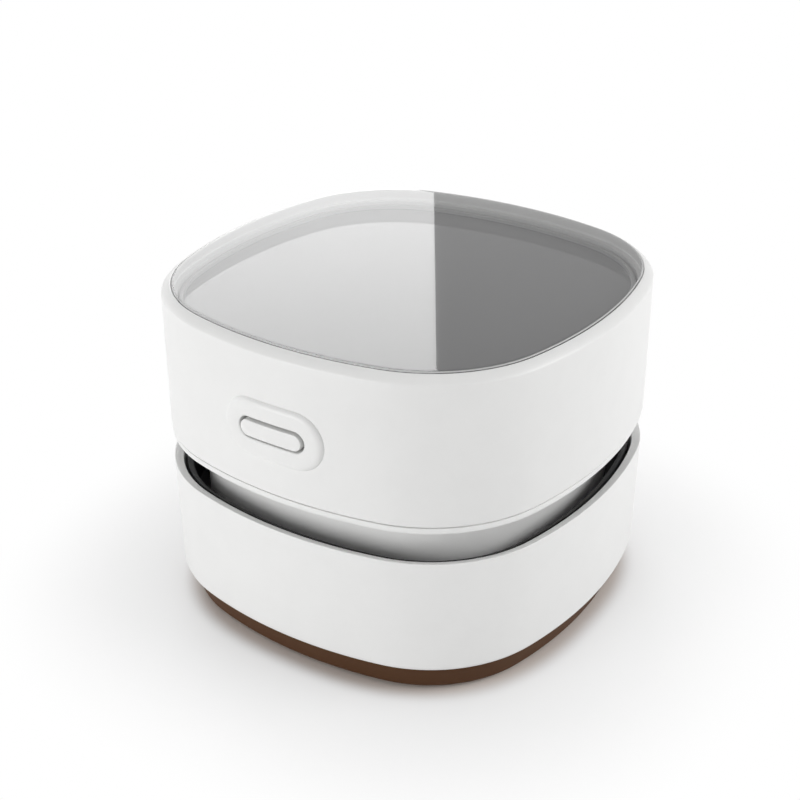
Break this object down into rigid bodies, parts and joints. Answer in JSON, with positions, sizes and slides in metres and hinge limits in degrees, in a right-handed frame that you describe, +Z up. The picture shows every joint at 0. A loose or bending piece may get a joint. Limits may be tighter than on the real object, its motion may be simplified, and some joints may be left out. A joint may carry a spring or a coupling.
{
  "type": "desktop mini vacuum cleaner",
  "caption": "Rounded-square table vacuum: a motor unit with a clear glossy lens and a power button lifts off a dust cup with a brushed suction slot underneath.",
  "frame": {"origin": "on the table, under the middle of the body", "axes": "+Z up; -Y is the front, where the power button is; +X is the right side seen from the front"},
  "size_m": [0.085, 0.0862, 0.0655],
  "materials": {
    "white_shell": "satin white moulding",
    "clear_lens": "clear gloss acrylic",
    "grey_tray": "matte grey moulding",
    "black_plastic": "matte black moulding",
    "brown_base": "matte dark brown moulding",
    "nylon": "dark nylon bristle",
    "rubber": "soft black rubber",
    "filter_grey": "pale grey non-woven felt",
    "steel": "plated steel",
    "fan_plastic": "dark grey glass-filled plastic",
    "board_green": "green solder mask",
    "cell_wrap": "blue shrink wrap",
    "lead_red": "red soft wire jacket",
    "lead_black": "black soft wire jacket"
  },
  "bodies": {
    "dust_cup": {"lower_shell": "white_shell", "dust_bowl": "black_plastic", "bowl_collar": "black_plastic", "base_plate": "brown_base", "brush_strip_front": "nylon", "brush_strip_rear": "nylon", "foot_1": "rubber", "foot_2": "rubber", "foot_3": "rubber", "foot_4": "rubber", "base_screw_1": "steel", "base_screw_2": "steel", "base_screw_3": "steel", "base_screw_4": "steel"},
    "motor_unit": {"upper_shell": "white_shell", "top_lens": "clear_lens", "lens_tray": "grey_tray", "chassis_plate": "white_shell", "fan_housing": "white_shell", "filter_frame": "grey_tray", "filter_pad": "filter_grey", "seal_ring": "rubber", "motor_bracket": "black_plastic", "motor_can": "steel", "motor_end_cap": "black_plastic", "motor_screw_1": "steel", "motor_screw_2": "steel", "housing_screw_1": "steel", "housing_screw_2": "steel", "housing_screw_3": "steel", "housing_screw_4": "steel", "battery_cell": "cell_wrap", "battery_cradle": "black_plastic", "circuit_board": "board_green", "control_chip": "black_plastic", "charge_socket": "steel", "switch_body": "black_plastic", "switch_board": "board_green", "battery_lead_red": "lead_red", "battery_lead_black": "lead_black", "motor_lead_red": "lead_red", "motor_lead_black": "lead_black"},
    "impeller": {"impeller": "fan_plastic", "motor_shaft": "steel"},
    "power_button": {"button_cap": "white_shell", "switch_plunger": "black_plastic"}
  },
  "joints": [
    {"name": "motor_unit_lift", "type": "slide", "parent": "dust_cup", "child": "motor_unit", "axis": [0, 0, 1], "range_m": [0, 0.04]},
    {"name": "impeller_spin", "type": "hinge", "parent": "motor_unit", "child": "impeller", "pos_m": [0, 0, 0.0355], "axis": [0, 0, 1], "continuous": true},
    {"name": "button_press", "type": "slide", "parent": "motor_unit", "child": "power_button", "axis": [0, 1, 0], "range_m": [0, 0.001], "stiffness_N_per_m": 300, "springref_m": -0.002}
  ]
}
